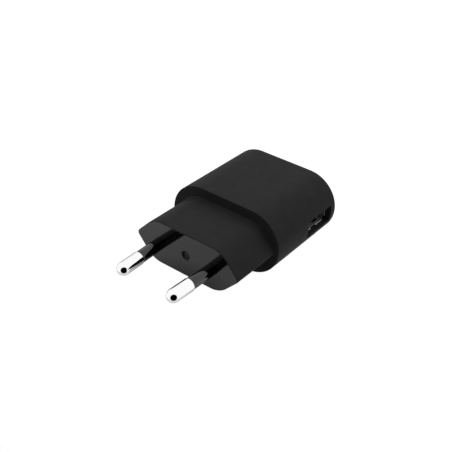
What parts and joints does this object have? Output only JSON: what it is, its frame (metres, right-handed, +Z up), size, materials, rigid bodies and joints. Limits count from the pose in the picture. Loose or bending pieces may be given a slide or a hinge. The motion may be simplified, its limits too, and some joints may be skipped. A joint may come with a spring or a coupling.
{
  "type": "usb wall charger",
  "caption": "Black two-pin USB wall charger: six-sided plug section with round sleeved pins, a wider rounded body and a USB-A port in its narrow side.",
  "frame": {"origin": "centre of the plug's front face", "axes": "+Z up with the charger on its wide side, X across the width, +Y from the front face towards the rear, pins along -Y"},
  "size_m": [0.0386, 0.0671, 0.0206],
  "materials": {
    "casing": "satin black",
    "sleeve": "glossy black",
    "nickel_plate": "bright nickel plate",
    "tinned_steel": "tin plate",
    "connector_plastic": "moulded black",
    "contact_gold": "gold flash",
    "inner_plastic": "moulded",
    "board": "solder mask",
    "capacitor_sleeve": "shrink sleeve",
    "capacitor_can": "drawn can",
    "ferrite": "sintered",
    "blue_epoxy": "dipped",
    "resistor_body": "painted ceramic",
    "copper_wire": "enamelled wire",
    "yellow_tape": "polyester tape",
    "chip_epoxy": "moulded epoxy",
    "brass_strip": "stamped strip"
  },
  "bodies": {
    "charger": {"bridge_rectifier": "chip_epoxy", "circuit_board": "board", "controller_ic": "chip_epoxy", "front_cover": "casing", "fuse_resistor": "resistor_body", "input_capacitor_1": "capacitor_sleeve", "input_capacitor_2": "capacitor_sleeve", "input_inductor": "ferrite", "main_shell": "casing", "optocoupler": "chip_epoxy", "output_capacitor": "capacitor_can", "output_diode": "chip_epoxy", "pin_left": "nickel_plate", "pin_retainer": "inner_plastic", "pin_right": "nickel_plate", "pin_sleeve_left": "sleeve", "pin_sleeve_right": "sleeve", "pin_strap_left": "brass_strip", "pin_strap_right": "brass_strip", "transformer_bobbin": "inner_plastic", "transformer_core": "ferrite", "transformer_pins": "tinned_steel", "transformer_tape": "yellow_tape", "transformer_winding": "copper_wire", "usb_contact_tails": "contact_gold", "usb_insulator": "connector_plastic", "usb_shell": "tinned_steel", "y_capacitor": "blue_epoxy"},
    "power_spring": {"usb_contact_power": "contact_gold"},
    "data_minus_spring": {"usb_contact_data_minus": "contact_gold"},
    "data_plus_spring": {"usb_contact_data_plus": "contact_gold"},
    "ground_spring": {"usb_contact_ground": "contact_gold"}
  },
  "joints": [
    {"name": "power_spring_bend", "type": "hinge", "parent": "charger", "child": "power_spring", "pos_m": [0.00785, 0.0439, 0.00062], "axis": [0, -1, 0], "range_deg": [0, 3.2], "stiffness_Nm_per_rad": 0.1},
    {"name": "data_minus_spring_bend", "type": "hinge", "parent": "charger", "child": "data_minus_spring", "pos_m": [0.00785, 0.0414, 0.00062], "axis": [0, -1, 0], "range_deg": [0, 3.2], "stiffness_Nm_per_rad": 0.1},
    {"name": "data_plus_spring_bend", "type": "hinge", "parent": "charger", "child": "data_plus_spring", "pos_m": [0.00785, 0.0394, 0.00062], "axis": [0, -1, 0], "range_deg": [0, 3.2], "stiffness_Nm_per_rad": 0.1},
    {"name": "ground_spring_bend", "type": "hinge", "parent": "charger", "child": "ground_spring", "pos_m": [0.00785, 0.0369, 0.00062], "axis": [0, -1, 0], "range_deg": [0, 3.2], "stiffness_Nm_per_rad": 0.1}
  ]
}
